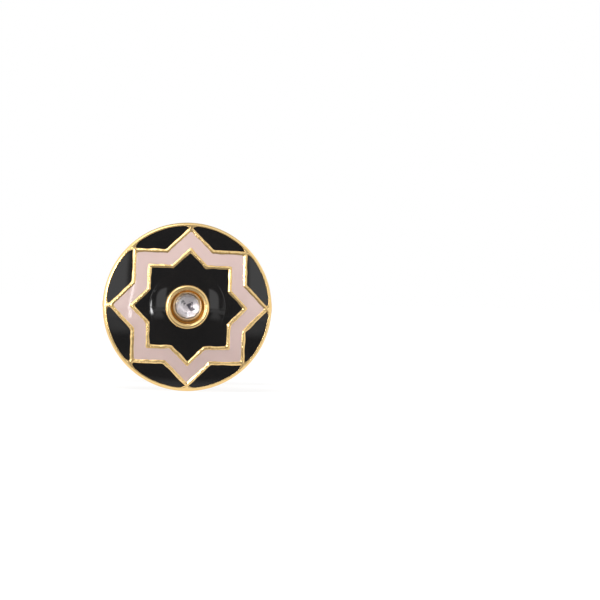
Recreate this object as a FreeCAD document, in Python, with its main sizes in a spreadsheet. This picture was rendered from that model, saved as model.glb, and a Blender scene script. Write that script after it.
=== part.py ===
import FreeCAD, Part
import math
import os
import re

import Sketcher

# A cufflink: a round enamelled face with a set stone, a forked post and a turning toggle bar.
# X runs along the toggle bar, +Y runs down the post from the face to the bar, and +Z is up, as it is worn.
# The origin is on the post's axis in the plane of the face's back lip, where the cuff bears.

# Driving sizes in millimetres: name, value, meaning.
SIZES = (
    ("face_diameter", 18.0, "outer diameter of the face"),
    ("rim_height", 1.7, "side wall of the face, from the back lip to the front edge"),
    ("face_crown", 0.9, "rise of the domed front above its edge"),
    ("edge_round", 0.18, "rounding of the side wall's two edges"),
    ("lip_width", 0.7, "flat lip round the back"),
    ("dish_sweep", 1.8, "width of the curved rise from the dish floor to the lip"),
    ("dish_depth", 1.1, "depth of the dished back"),
    ("rim_width", 0.38, "metal rim seen from the front"),
    ("wall_width", 0.34, "cell walls of the two stars"),
    ("tip_reach", 0.05, "run of the outer star's tips into the rim"),
    ("star_pitch", 1.67, "distance from the outer star's walls to the inner star's"),
    ("enamel_depth", 0.5, "depth of the enamel cells"),
    ("enamel_gap", 0.01, "gap between the enamel and its cell"),
    ("bezel_wall", 0.61, "bezel ring from its opening to its outside"),
    ("bezel_height", 1.6, "bezel ring from its seat to its top"),
    ("bezel_round", 0.28, "rounded part of the bezel ring's height"),
    ("bezel_sink", 0.6, "depth of the bezel's seat below the top of the dome"),
    ("cup_floor", 0.35, "floor of the stone cup"),
    ("cup_wall", 0.14, "wall of the stone cup"),
    ("trough_width", 0.19, "trough between the stone cup's wall and the bezel ring"),
    ("cup_lip_height", 0.22, "lip of the cup above the stone's girdle"),
    ("cup_lip_overhang", 0.07, "lip of the cup over the stone"),
    ("foil_thickness", 0.05, "foil under the stone"),
    ("stone_diameter", 2.8, "stone across its girdle"),
    ("stone_girdle", 0.5, "straight side of the stone"),
    ("stone_crown", 0.55, "height of the facets above the girdle"),
    ("stone_table", 1.3, "flat top facet, across its corners"),
    ("stone_clearance", 0.03, "gap between the stone and its cup"),
    ("post_width", 2.85, "width of the fork along the bar"),
    ("leg_thickness", 0.9, "thickness of each leg of the fork"),
    ("leg_round", 0.7, "rounding of the legs' outer edges"),
    ("leg_overhang", 2.2, "legs past the pivot"),
    ("foot_margin", 0.4, "foot beyond the fork on its sides"),
    ("foot_end_margin", 0.7, "foot beyond the fork at its ends"),
    ("foot_thickness", 0.32, "thickness of the foot"),
    ("pivot_distance", 11.8, "back lip to the pivot"),
    ("pin_diameter", 1.4, "pivot pin"),
    ("pin_crown", 0.06, "domed ends of the pin beyond the legs"),
    ("pin_flats", 1.1, "pin across its four flats"),
    ("pin_flat_margin", 0.38, "round part of the pin inside the tube's bore, at each end"),
    ("pin_seat_clearance", 0.02, "gap between the pin and the legs"),
    ("pivot_clearance", 0.04, "running gap between the pin and the tube"),
    ("toggle_length", 19.5, "toggle bar from tip to tip"),
    ("toggle_diameter", 4.25, "outside of the toggle tube"),
    ("toggle_side_gap", 0.15, "gap between the tube and each leg"),
    ("toggle_tip_gap", 0.8, "gap between the turned bar's tip and the floor of the fork's slot"),
    ("tube_wall", 0.45, "wall of the toggle tube"),
    ("cap_height", 1.8, "domed cap beyond the tube"),
    ("cap_step", 0.05, "step from the tube down to the cap's edge"),
    ("cap_spigot", 1.2, "length of the cap inside the tube"),
    ("plug_height", 1.3, "domed plug beyond the tube"),
    ("plug_shoulder", 0.13, "tube's rolled lip below its bore, which holds the plug in"),
    ("plug_collar", 0.6, "length of the plug's collar behind the lip"),
    ("seat_clearance", 0.02, "gap round a seated piece"),
    ("spring_width", 1.4, "width of the leaf spring"),
    ("spring_thickness", 0.2, "thickness of the leaf spring"),
    ("spring_end_gap", 0.9, "gap between the leaf spring and the cap's spigot"),
    ("spring_gap", 0.03, "gap between the leaf spring and what it bears on"),
    ("cut_overrun", 1.0, "run of a cutting shape past what it cuts"),
)

# Lengths worked out from the driving sizes: name, formula.
DERIVED = (
    ("face_radius", "face_diameter / 2"),
    ("lip_radius", "face_radius - lip_width"),
    ("floor_radius", "lip_radius - dish_sweep"),
    ("dish_radius", "(dish_sweep ^ 2 + dish_depth ^ 2) / (2 * dish_depth)"),
    ("apex_depth", "rim_height + face_crown"),
    ("crown_radius", "(face_radius ^ 2 + face_crown ^ 2) / (2 * face_crown)"),
    ("crown_centre", "crown_radius - apex_depth"),
    ("cell_radius", "face_radius - rim_width"),
    ("outer_star", "(cell_radius + tip_reach) / sqrt(2) - wall_width / 2"),
    ("inner_star", "outer_star - star_pitch"),
    ("cell_cut_depth", "apex_depth + cut_overrun"),
    ("stone_radius", "stone_diameter / 2"),
    ("cup_bore", "stone_radius + stone_clearance"),
    ("opening_radius", "cup_bore + cup_wall + trough_width"),
    ("bezel_radius", "opening_radius + bezel_wall"),
    ("bezel_arc", "((bezel_wall / 2) ^ 2 + bezel_round ^ 2) / (2 * bezel_round)"),
    ("bezel_seat", "apex_depth - bezel_sink"),
    ("bezel_top", "bezel_seat + bezel_height"),
    ("bezel_shoulder", "bezel_top - bezel_round"),
    ("cup_top", "bezel_seat + cup_floor"),
    ("stone_bed", "cup_top + foil_thickness"),
    ("girdle_top", "stone_bed + stone_girdle"),
    ("toggle_radius", "toggle_diameter / 2"),
    ("slot_half", "toggle_radius + toggle_side_gap"),
    ("post_half", "slot_half + leg_thickness"),
    ("post_side", "post_width / 2"),
    ("leg_end", "pivot_distance + leg_overhang"),
    ("leg_end_centre", "leg_end - post_side"),
    ("slot_centre", "pivot_distance - toggle_length / 2 - toggle_tip_gap + slot_half"),
    ("foot_side", "post_side + foot_margin"),
    ("foot_end_centre", "post_half + foot_end_margin - foot_side"),
    ("pin_radius", "pin_diameter / 2"),
    ("pin_arc", "(pin_radius ^ 2 + pin_crown ^ 2) / (2 * pin_crown)"),
    ("bore_radius", "toggle_radius - tube_wall"),
    ("tube_cap_end", "toggle_length / 2 - cap_height"),
    ("tube_plug_end", "toggle_length / 2 - plug_height"),
    ("spigot_radius", "bore_radius - seat_clearance"),
    ("cap_radius", "toggle_radius - cap_step"),
    ("cap_arc", "(cap_radius ^ 2 + cap_height ^ 2) / (2 * cap_height)"),
    ("plug_radius", "bore_radius - plug_shoulder"),
    ("plug_arc", "(plug_radius ^ 2 + plug_height ^ 2) / (2 * plug_height)"),
    ("lip_inside", "tube_plug_end - tube_wall"),
    ("spring_reach", "tube_cap_end - cap_spigot - spring_end_gap"),
    ("spring_middle", "pin_flats / 2 + spring_gap"),
    ("spring_end", "sqrt(bore_radius ^ 2 - (spring_width / 2) ^ 2) - spring_gap"),
    ("spring_bow", "spring_end - spring_thickness - spring_middle"),
    ("spring_arc", "(spring_reach ^ 2 + spring_bow ^ 2) / (2 * spring_bow)"),
)

STAR_POINTS = 8
POINT_ANGLE = 360 / STAR_POINTS
FULL_TURN = 360

doc = FreeCAD.newDocument("cufflink")
sheet = doc.addObject("Spreadsheet::Sheet", "Sizes")
for row, (name, number, meaning) in enumerate(SIZES, 1):
    sheet.set(f"A{row}", meaning)
    sheet.set(f"B{row}", str(number))
    sheet.setAlias(f"B{row}", name)
for row, (name, formula) in enumerate(DERIVED, len(SIZES) + 1):
    sheet.set(f"B{row}", f"={formula}")
    sheet.setAlias(f"B{row}", name)
doc.recompute()


def bound(text):
    """An expression on the sheet's named sizes."""
    return re.sub(r"[a-z]\w*", r"Sizes.\g<0>", text)


def size(text):
    """The number that an expression on the named sizes gives now."""
    return float(sheet.evalExpression(bound(text)))


def bind(thing, **sizes):
    """Tie properties of an object to the named sizes; a double underscore stands for a dot."""
    for path, text in sizes.items():
        thing.setExpression(path.replace("__", "."), bound(text))


def constrain(sketch, text, kind, *geometry):
    """Add a constraint whose value follows the named sizes."""
    index = sketch.addConstraint(Sketcher.Constraint(kind, *geometry, size(text)))
    sketch.setExpression(f"Constraints[{index}]", bound(text))


def place_point(sketch, geometry, end, across, up):
    """Hold one end of a line or arc at a named place in its sketch."""
    for text, kind, axis in ((across, "DistanceX", -2), (up, "DistanceY", -1)):
        if text == "0":
            sketch.addConstraint(Sketcher.Constraint("PointOnObject", geometry, end, axis))
        else:
            constrain(sketch, text, kind, -1, 1, geometry, end)


def arc_between(first, last, radius, side):
    """An arc of under a half circle; side is +1 if it turns to the left on its way, or -1."""
    chord = last - first
    normal = FreeCAD.Vector(-chord.y, chord.x, 0).normalize()
    centre = (first + last) / 2 + normal * side * math.sqrt(max(radius ** 2 - chord.Length ** 2 / 4, 0))
    angles = [math.atan2(point.y - centre.y, point.x - centre.x) for point in (first, last)]
    if side < 0:
        angles.reverse()
    circle = Part.Circle(centre, FreeCAD.Vector(0, 0, 1), radius)
    return Part.ArcOfCircle(circle, angles[0], angles[1])


def draw_outline(sketch, corners):
    """Draw a closed outline: each corner is (across, up) and, if an arc leaves it, (radius, side) as well."""
    points = [FreeCAD.Vector(size(corner[0]), size(corner[1]), 0) for corner in corners]
    edges = []
    for index, corner in enumerate(corners):
        first = points[index]
        last = points[(index + 1) % len(points)]
        if len(corner) == 2:
            edges.append((sketch.addGeometry(Part.LineSegment(first, last)), 1, 2))
            continue
        radius, side = corner[2:]
        arc = sketch.addGeometry(arc_between(first, last, size(radius), side))
        edges.append((arc, 1, 2) if side > 0 else (arc, 2, 1))
        constrain(sketch, radius, "Radius", arc)
    for index, (geometry, start, end) in enumerate(edges):
        following, next_start, next_end = edges[(index + 1) % len(edges)]
        sketch.addConstraint(Sketcher.Constraint("Coincident", geometry, end, following, next_start))
        place_point(sketch, geometry, start, *corners[index][:2])


def draw_circle(sketch, radius, up="0"):
    """Draw a circle on the sketch's upright axis."""
    centre = FreeCAD.Vector(0, size(up), 0)
    circle = sketch.addGeometry(Part.Circle(centre, FreeCAD.Vector(0, 0, 1), size(radius)))
    constrain(sketch, radius, "Radius", circle)
    place_point(sketch, circle, 3, "0", up)


def add_sketch(body, name, plane, height="0"):
    """Add a sketch to a body, on one of its origin planes or a named height above it."""
    sketch = body.newObject("Sketcher::SketchObject", name)
    planes = [feature for feature in body.Origin.OriginFeatures if feature.Role == plane]
    sketch.AttachmentSupport = [(planes[0], "")]
    sketch.MapMode = "FlatFace"
    if height != "0":
        bind(sketch, AttachmentOffset__Base__z=height)
    return sketch


def add_revolution(body, corners, plane, axis):
    """Turn a closed outline into a round solid."""
    sketch = add_sketch(body, body.Name + "_profile", plane)
    draw_outline(sketch, corners)
    turned = body.newObject("PartDesign::Revolution", body.Name + "_turned")
    turned.Profile = sketch
    turned.ReferenceAxis = (sketch, [axis])
    turned.Angle = FULL_TURN
    doc.recompute()
    return turned


def add_through_cut(body, sketch):
    """Cut a sketch's shape right through a body, both ways from its plane."""
    before = body.Shape.Volume
    cut = body.newObject("PartDesign::Pocket", sketch.Name + "_cut")
    cut.Profile = sketch
    cut.Type = "ThroughAll"
    cut.SideType = "Symmetric"
    doc.recompute()
    assert body.Shape.Volume < before, f"{cut.Name} removes nothing"


def round_edges(body, radius, chosen):
    """Round the edges of a body's last feature that a test chooses."""
    base = body.Tip
    names = [f"Edge{index}" for index, edge in enumerate(base.Shape.Edges, 1) if chosen(edge)]
    fillet = body.newObject("PartDesign::Fillet", body.Name + "_rounded")
    fillet.Base = (base, names)
    bind(fillet, Radius=radius)
    doc.recompute()


def combine(kind, name, base, tool):
    """Join two objects with a boolean."""
    result = doc.addObject(f"Part::{kind}", name)
    result.Base = base
    result.Tool = tool
    return result


def new_body(name):
    return doc.addObject("PartDesign::Body", name)


# Round and star-shaped tools that run from the back lip's plane forward past the dome.

FORWARD = FreeCAD.Rotation(FreeCAD.Vector(1, 0, 0), 90)


def add_disc(name, radius, angle=FULL_TURN, start=0):
    """A round tool, or a slice of one that starts at an angle round the face."""
    disc = doc.addObject("Part::Cylinder", name)
    disc.Angle = angle
    turn = FreeCAD.Rotation(FreeCAD.Vector(0, 0, 1), start)
    disc.Placement = FreeCAD.Placement(FreeCAD.Vector(), FORWARD.multiply(turn))
    bind(disc, Radius=radius, Height="cell_cut_depth")
    return disc


def add_star(name, half_side):
    """An eight-pointed star tool: two square bars, one turned by an eighth."""
    upright = doc.addObject("Part::Box", name + "_upright")
    turned = doc.addObject("Part::Box", name + "_turned")
    for bar in (upright, turned):
        bind(bar, Length=f"2 * ({half_side})", Height=f"2 * ({half_side})", Width="cell_cut_depth")
        bind(bar, Placement__Base__y="-cell_cut_depth")
    bind(upright, Placement__Base__x=f"-({half_side})", Placement__Base__z=f"-({half_side})")
    turned.Placement.Rotation = FreeCAD.Rotation(FreeCAD.Vector(0, 1, 0), POINT_ANGLE)
    turned.setExpression("Placement.Base.x", f"-({bound(half_side)}) * sqrt(2)")
    return combine("Fuse", name, upright, turned)


def add_ball(name, radius):
    """A ball about the centre of the dome's curve."""
    ball = doc.addObject("Part::Sphere", name)
    bind(ball, Radius=radius, Placement__Base__y="crown_centre")
    return ball


# Face plate: a domed, dished casting with a seat for the bezel and cells for the enamel.

blank = new_body("plate_blank")
add_revolution(blank, (
    ("0", "-dish_depth"),
    ("floor_radius", "-dish_depth", "dish_radius", 1),
    ("lip_radius", "0"),
    ("face_radius", "0"),
    ("face_radius", "-rim_height", "crown_radius", -1),
    ("0", "-apex_depth"),
), "XY_Plane", "V_Axis")


def on_side_wall(edge):
    return math.isclose(edge.Length, math.pi * size("face_diameter"), rel_tol=1e-6)


round_edges(blank, "edge_round", on_side_wall)

seat_sketch = add_sketch(blank, "bezel_seat_outline", "XZ_Plane", "bezel_seat")
draw_circle(seat_sketch, "bezel_radius + seat_clearance")
seat_cut = blank.newObject("PartDesign::Pocket", "bezel_seat_cut")
seat_cut.Profile = seat_sketch
seat_cut.Reversed = True
bind(seat_cut, Length="bezel_sink + cut_overrun")

cell_floor = add_ball("cell_floor", "crown_radius - enamel_depth")
rim_cells = combine("Cut", "rim_cells", add_disc("rim_inside", "cell_radius"),
                    add_star("outer_star_outside", "outer_star + wall_width / 2"))
band_cell = combine("Cut", "band_cell", add_star("outer_star_inside", "outer_star - wall_width / 2"),
                    add_star("inner_star_outside", "inner_star + wall_width / 2"))
centre_cell = add_star("centre_cell", "inner_star - wall_width / 2")
cells = doc.addObject("Part::MultiFuse", "cells")
cells.Shapes = [rim_cells, band_cell, centre_cell]
cell_cut = combine("Cut", "cell_cut", cells, cell_floor)
face_plate = combine("Cut", "face_plate", blank, cell_cut)


# Enamel: each fill lies on its cell's floor and is flush with the dome.

dome = add_ball("dome", "crown_radius")
enamel_floor = add_ball("enamel_floor", "crown_radius - enamel_depth + enamel_gap")


def add_enamel(name, outline):
    layer = combine("Common", name + "_layer", outline, dome)
    return combine("Cut", name, layer, enamel_floor)


outer_fill_edge = add_star("outer_fill_edge", "outer_star + wall_width / 2 + enamel_gap")
rim_enamel = []
for number in range(STAR_POINTS):
    name = f"rim_enamel_{number + 1}"
    wedge = add_disc(name + "_wedge", "cell_radius - enamel_gap", POINT_ANGLE, number * POINT_ANGLE)
    rim_enamel.append(add_enamel(name, combine("Cut", name + "_outline", wedge, outer_fill_edge)))

band_outline = combine("Cut", "band_outline",
                       add_star("band_outside", "outer_star - wall_width / 2 - enamel_gap"),
                       add_star("band_inside", "inner_star + wall_width / 2 + enamel_gap"))
band_enamel = add_enamel("band_enamel", band_outline)

centre_outline = combine("Cut", "centre_outline",
                         add_star("centre_outside", "inner_star - wall_width / 2 - enamel_gap"),
                         add_disc("centre_hole", "bezel_radius + seat_clearance"))
centre_enamel = add_enamel("centre_enamel", centre_outline)


# Bezel ring: stands in its seat in the plate, with a rounded top.

bezel_ring = new_body("bezel_ring")
add_revolution(bezel_ring, (
    ("opening_radius", "-bezel_seat"),
    ("opening_radius", "-bezel_shoulder", "bezel_arc", 1),
    ("opening_radius + bezel_wall / 2", "-bezel_top", "bezel_arc", 1),
    ("bezel_radius", "-bezel_shoulder"),
    ("bezel_radius", "-bezel_seat"),
), "XY_Plane", "V_Axis")


# Stone cup: a flanged collet inside the ring, whose lip leans over the stone's girdle.

stone_cup = new_body("stone_cup")
add_revolution(stone_cup, (
    ("0", "-bezel_seat"),
    ("0", "-cup_top"),
    ("cup_bore", "-cup_top"),
    ("cup_bore", "-girdle_top - stone_clearance"),
    ("cup_bore - cup_lip_overhang", "-girdle_top - cup_lip_height"),
    ("cup_bore + cup_wall", "-girdle_top - cup_lip_height"),
    ("cup_bore + cup_wall", "-cup_top"),
    ("opening_radius - seat_clearance", "-cup_top"),
    ("opening_radius - seat_clearance", "-bezel_seat"),
), "XY_Plane", "V_Axis")


# Foil: a thin disc between the cup's floor and the stone.

stone_foil = doc.addObject("Part::Cylinder", "stone_foil")
stone_foil.Placement.Rotation = FORWARD
bind(stone_foil, Radius="stone_radius", Height="foil_thickness", Placement__Base__y="-cup_top")


# Stone: flat beneath, with a table, eight star facets, eight kites and sixteen girdle facets.

def facet_point(radius, height, steps):
    """A corner of the stone: its height above the flat underside, and its place round it in half points."""
    angle = math.radians(steps * POINT_ANGLE / 2)
    return FreeCAD.Vector(radius * math.cos(angle), -height, radius * math.sin(angle))


def make_stone():
    girdle = size("stone_radius")
    table = size("stone_table / 2")
    side = size("stone_girdle")
    top = side + size("stone_crown")
    star = (table + girdle) / 2
    kite_slope = (top - side) / (girdle - table)
    star_height = top - (star * math.cos(math.radians(POINT_ANGLE / 2)) - table) * kite_slope
    steps = 2 * STAR_POINTS
    base_ring = [facet_point(girdle, 0, step) for step in range(steps)]
    girdle_ring = [facet_point(girdle, side, step) for step in range(steps)]
    table_ring = [facet_point(table, top, 2 * point) for point in range(STAR_POINTS)]
    star_ring = [facet_point(star, star_height, 2 * point + 1) for point in range(STAR_POINTS)]
    facets = [base_ring, table_ring]
    for step in range(steps):
        after = (step + 1) % steps
        facets.append([base_ring[step], base_ring[after], girdle_ring[after], girdle_ring[step]])
        facets.append([girdle_ring[step], girdle_ring[after], star_ring[step // 2]])
    for point in range(STAR_POINTS):
        after = (point + 1) % STAR_POINTS
        facets.append([table_ring[point], table_ring[after], star_ring[point]])
        facets.append([table_ring[point], star_ring[point], girdle_ring[2 * point], star_ring[point - 1]])
    faces = [Part.Face(Part.makePolygon(corners + corners[:1])) for corners in facets]
    return Part.makeSolid(Part.makeShell(faces))


stone = doc.addObject("Part::Feature", "stone")
stone.Shape = make_stone()
stone.Placement.Base.y = size("-stone_bed")


# Post frame: a fork with rounded legs on an obround foot, which stands on the floor of the dish.

post_frame = new_body("post_frame")
post_plan = add_sketch(post_frame, "post_plan", "XY_Plane")
draw_outline(post_plan, (
    ("-post_side", "-dish_depth"),
    ("post_side", "-dish_depth"),
    ("post_side", "leg_end_centre", "post_side", 1),
    ("0", "leg_end", "post_side", 1),
    ("-post_side", "leg_end_centre"),
))
post_block = post_frame.newObject("PartDesign::Pad", "post_block")
post_block.Profile = post_plan
post_block.SideType = "Symmetric"
bind(post_block, Length="2 * post_half")
doc.recompute()


def on_leg_face(edge):
    at_foot = max(vertex.Y for vertex in edge.Vertexes) < size("0 - dish_depth / 2")
    return not at_foot and all(math.isclose(abs(v.Z), size("post_half"), rel_tol=1e-6) for v in edge.Vertexes)


round_edges(post_frame, "leg_round", on_leg_face)

slot_outline = add_sketch(post_frame, "slot_outline", "YZ_Plane")
draw_outline(slot_outline, (
    ("slot_centre", "-slot_half"),
    ("leg_end + cut_overrun", "-slot_half"),
    ("leg_end + cut_overrun", "slot_half"),
    ("slot_centre", "slot_half", "slot_half", 1),
    ("slot_centre - slot_half", "0", "slot_half", 1),
))
add_through_cut(post_frame, slot_outline)

foot_outline = add_sketch(post_frame, "foot_outline", "XZ_Plane", "dish_depth")
draw_outline(foot_outline, (
    ("foot_side", "-foot_end_centre"),
    ("foot_side", "foot_end_centre", "foot_side", 1),
    ("0", "foot_end_centre + foot_side", "foot_side", 1),
    ("-foot_side", "foot_end_centre"),
    ("-foot_side", "-foot_end_centre", "foot_side", 1),
    ("0", "-foot_end_centre - foot_side", "foot_side", 1),
))
foot = post_frame.newObject("PartDesign::Pad", "foot")
foot.Profile = foot_outline
foot.Reversed = True
bind(foot, Length="foot_thickness")
doc.recompute()

pin_hole = add_sketch(post_frame, "pin_hole", "XY_Plane")
draw_circle(pin_hole, "pin_radius + pin_seat_clearance", "pivot_distance")
add_through_cut(post_frame, pin_hole)


# Pivot pin: set in the legs, with four flats in the middle for the spring to press on.

pivot_pin = new_body("pivot_pin")
bind(pivot_pin, Placement__Base__y="pivot_distance")
add_revolution(pivot_pin, (
    ("0", "-post_half - pin_crown", "pin_arc", 1),
    ("pin_radius", "-post_half"),
    ("pin_radius", "post_half", "pin_arc", 1),
    ("0", "post_half + pin_crown"),
), "XZ_Plane", "V_Axis")
flats_outline = add_sketch(pivot_pin, "flats_outline", "XY_Plane")
draw_circle(flats_outline, "pin_radius + cut_overrun")
draw_outline(flats_outline, (
    ("-pin_flats / 2", "-pin_flats / 2"),
    ("pin_flats / 2", "-pin_flats / 2"),
    ("pin_flats / 2", "pin_flats / 2"),
    ("-pin_flats / 2", "pin_flats / 2"),
))
flats_cut = pivot_pin.newObject("PartDesign::Pocket", "flats_cut")
flats_cut.Profile = flats_outline
flats_cut.SideType = "Symmetric"
bind(flats_cut, Length="2 * (bore_radius - pin_flat_margin)")


# Toggle tube: open at the cap's end, rolled in at the plug's end, with a cross hole for the pin.

toggle_tube = new_body("toggle_tube")
bind(toggle_tube, Placement__Base__y="pivot_distance")
add_revolution(toggle_tube, (
    ("tube_cap_end", "bore_radius"),
    ("tube_cap_end", "toggle_radius"),
    ("tube_wall - tube_plug_end", "toggle_radius", "tube_wall", 1),
    ("-tube_plug_end", "bore_radius"),
    ("-tube_plug_end", "plug_radius + seat_clearance"),
    ("-lip_inside", "plug_radius + seat_clearance"),
    ("-lip_inside", "bore_radius"),
), "XY_Plane", "H_Axis")
cross_hole = add_sketch(toggle_tube, "cross_hole", "XY_Plane")
draw_circle(cross_hole, "pin_radius + pivot_clearance")
add_through_cut(toggle_tube, cross_hole)


# End cap: a full-width dome on a spigot in the tube's open end.

toggle_end_cap = new_body("toggle_end_cap")
bind(toggle_end_cap, Placement__Base__y="pivot_distance")
add_revolution(toggle_end_cap, (
    ("tube_cap_end - cap_spigot", "0"),
    ("tube_cap_end + cap_height", "0", "cap_arc", 1),
    ("tube_cap_end", "cap_radius"),
    ("tube_cap_end", "spigot_radius"),
    ("tube_cap_end - cap_spigot", "spigot_radius"),
), "XY_Plane", "H_Axis")


# End plug: a smaller dome that stands out through the rolled lip, with a collar behind it.

toggle_end_plug = new_body("toggle_end_plug")
bind(toggle_end_plug, Placement__Base__y="pivot_distance")
add_revolution(toggle_end_plug, (
    ("-tube_plug_end - plug_height", "0"),
    ("plug_collar - lip_inside", "0"),
    ("plug_collar - lip_inside", "spigot_radius"),
    ("-lip_inside", "spigot_radius"),
    ("-lip_inside", "plug_radius"),
    ("-tube_plug_end", "plug_radius", "plug_arc", 1),
), "XY_Plane", "H_Axis")


# Leaf spring: bowed along the bore, its middle on a flat of the pin and its ends on the tube.

toggle_leaf_spring = new_body("toggle_leaf_spring")
bind(toggle_leaf_spring, Placement__Base__y="pivot_distance")
spring_side = add_sketch(toggle_leaf_spring, "spring_side", "XY_Plane")
draw_outline(spring_side, (
    ("-spring_reach", "spring_end - spring_thickness", "spring_arc", 1),
    ("0", "spring_middle", "spring_arc", 1),
    ("spring_reach", "spring_end - spring_thickness"),
    ("spring_reach", "spring_end", "spring_arc", -1),
    ("0", "spring_middle + spring_thickness", "spring_arc", -1),
    ("-spring_reach", "spring_end"),
))
spring_strip = toggle_leaf_spring.newObject("PartDesign::Pad", "spring_strip")
spring_strip.Profile = spring_side
spring_strip.SideType = "Symmetric"
bind(spring_strip, Length="spring_width")
doc.recompute()


# Check every object, then write each piece to its own file.

PIECES = [face_plate, *rim_enamel, band_enamel, centre_enamel, bezel_ring, stone_cup, stone_foil, stone,
          post_frame, pivot_pin, toggle_tube, toggle_end_cap, toggle_end_plug, toggle_leaf_spring]

for thing in doc.Objects:
    if "Invalid" in thing.State or "Error" in thing.State:
        raise RuntimeError(f"{thing.Name} failed: {thing.State}")
os.makedirs("parts", exist_ok=True)
for piece in PIECES:
    shape = piece.Shape
    if shape.isNull() or not shape.isValid() or len(shape.Solids) != 1:
        raise RuntimeError(f"{piece.Label} is not one valid solid")
for piece in PIECES:
    piece.Shape.exportStep(f"parts/{piece.Label}.step")
    print(f"{piece.Label}: {piece.Shape.Volume:.3f} mm3")
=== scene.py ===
import math

import bmesh
import bpy
from mathutils import Matrix, Vector, noise


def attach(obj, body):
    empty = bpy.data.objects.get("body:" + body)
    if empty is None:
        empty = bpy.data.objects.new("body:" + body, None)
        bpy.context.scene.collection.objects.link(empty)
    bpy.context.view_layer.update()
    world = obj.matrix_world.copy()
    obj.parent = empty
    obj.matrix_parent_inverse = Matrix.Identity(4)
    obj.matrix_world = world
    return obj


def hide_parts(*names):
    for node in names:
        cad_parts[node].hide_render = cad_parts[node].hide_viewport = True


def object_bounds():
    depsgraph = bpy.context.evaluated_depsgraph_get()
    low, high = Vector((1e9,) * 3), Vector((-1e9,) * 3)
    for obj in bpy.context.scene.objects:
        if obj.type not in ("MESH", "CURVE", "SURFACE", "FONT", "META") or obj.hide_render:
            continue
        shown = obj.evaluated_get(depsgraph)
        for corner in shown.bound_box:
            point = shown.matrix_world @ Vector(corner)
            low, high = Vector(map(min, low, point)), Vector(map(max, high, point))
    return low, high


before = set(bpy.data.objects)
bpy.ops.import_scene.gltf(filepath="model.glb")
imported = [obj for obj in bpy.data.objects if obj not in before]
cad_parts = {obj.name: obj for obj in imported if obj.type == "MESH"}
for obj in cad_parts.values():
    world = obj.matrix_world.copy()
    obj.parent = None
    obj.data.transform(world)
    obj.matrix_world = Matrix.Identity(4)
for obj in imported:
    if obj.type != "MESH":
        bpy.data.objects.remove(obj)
cad_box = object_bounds()

# The seed of the vector noise, which Blender otherwise draws anew at each start.
NOISE_SEED = 2
noise.seed_set(NOISE_SEED)

# Face casting: one gold plated brass casting, whose rim and two star-shaped cell walls stand up from the
# domed front, the stars a little to the right. The walls are rubbed down with the enamel, the rim's edge is
# burnished, the side and the back lip are polished, and the dished back keeps its cast grain.

MM = 0.001
RING_STEPS = 512
STAR_POINTS = 8
# How sharp the stars' corners are: 1 would be a point.
STAR_CORNER = 0.9945
DOME_RADIUS = 45.45 * MM
DOME_CENTRE = 42.85 * MM
FACE_RADIUS = 8.998 * MM
CELL_RADIUS = 8.62 * MM
CELL_DRIFT = 0.03 * MM
OUTER_STAR = 5.9 * MM
INNER_STAR = 4.291 * MM
# How far the stars stand off the post's axis, and their mean reach as a share of the half side.
STAR_DRIFT = 0.15 * MM
STAR_REACH_SHARE = 1.25
BEZEL_SEAT = 2.39 * MM
CELL_DEPTH = 0.5 * MM
# Where a star's tip runs into the rim: the gold patch's half width and the slope of its edge, then the depth
# and the spread of the fillet.
TIP_PATCH = 0.16 * MM
TIP_SLOPE = 1.2
TIP_FILLET = 0.24 * MM
TIP_SPREAD = 0.45 * MM
RIM_ROUND = 0.38 * MM
SHOULDER_STEPS = 10
EDGE_ROUND = 0.18 * MM
EDGE_STEPS = 6
LIP_RADIUS = 8.3 * MM
DISH_FLOOR = 6.5 * MM
DISH_DEPTH = 1.1 * MM
# The dish's rounded corner: its radius, the angle it sweeps and its steps, both in degrees.
DISH_SWEEP = 2.0227 * MM
DISH_EDGE = 58
DISH_STEP = 3
RING_GAP = 0.13 * MM
MERGE = 0.0001 * MM
# How the hand-finished lines waver: by a share or a height, with the size of the grain and a seed.
SEED_STEP = 7.3
WALL_WAVER = 0.3
WALL_GRAIN = 0.5 * MM
CREST_WAVER = 0.016 * MM
CREST_GRAIN = 0.3 * MM
CREST_SEED = 5
RIM_WAVER = 0.02 * MM
RIM_GRAIN = 0.6 * MM
RIM_SEED = 9
# Where a wall runs into the rim, its lines keep this share of their spacing.
TIP_SPACING = 0.05
# The rim's flank leans in from its crest by this share of its drop.
FLANK_LEAN = 0.1

# Half of a cell wall's section: offset from its middle and drop below the dome.
# The wall is a low ridge with a soft crest.
WALL_SECTION = (
    (0.0, 0.0),
    (0.02 * MM, 0.0035 * MM),
    (0.04 * MM, 0.0125 * MM),
    (0.055 * MM, 0.0203 * MM),
    (0.16 * MM, 0.0761 * MM),
    (0.178 * MM, 0.0857 * MM),
    (0.195 * MM, 0.098 * MM),
    (0.21 * MM, 0.125 * MM),
    (0.22 * MM, 0.17 * MM),
    (0.225 * MM, CELL_DEPTH),
)
# The rim's inner flank: offset from the cell's edge and drop below the dome.
RIM_SECTION = (
    (0.04 * MM, 0.006 * MM),
    (0.02 * MM, 0.022 * MM),
    (0.007 * MM, 0.05 * MM),
    (0.0, 0.09 * MM),
    (-0.005 * MM, CELL_DEPTH),
)
# The back lip's inner edge: offset from the lip's radius and depth.
LIP_SECTION = (
    (0.08 * MM, 0.0),
    (0.03 * MM, -0.012 * MM),
    (0.0, -0.05 * MM),
)


def srgb(code):
    """A linear colour with full alpha from an sRGB hex code."""
    parts = [int(code[place:place + 2], 16) / 255 for place in (1, 3, 5)]
    return [part / 12.92 if part <= 0.04045 else ((part + 0.055) / 1.055) ** 2.4 for part in parts] + [1.0]


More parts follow.
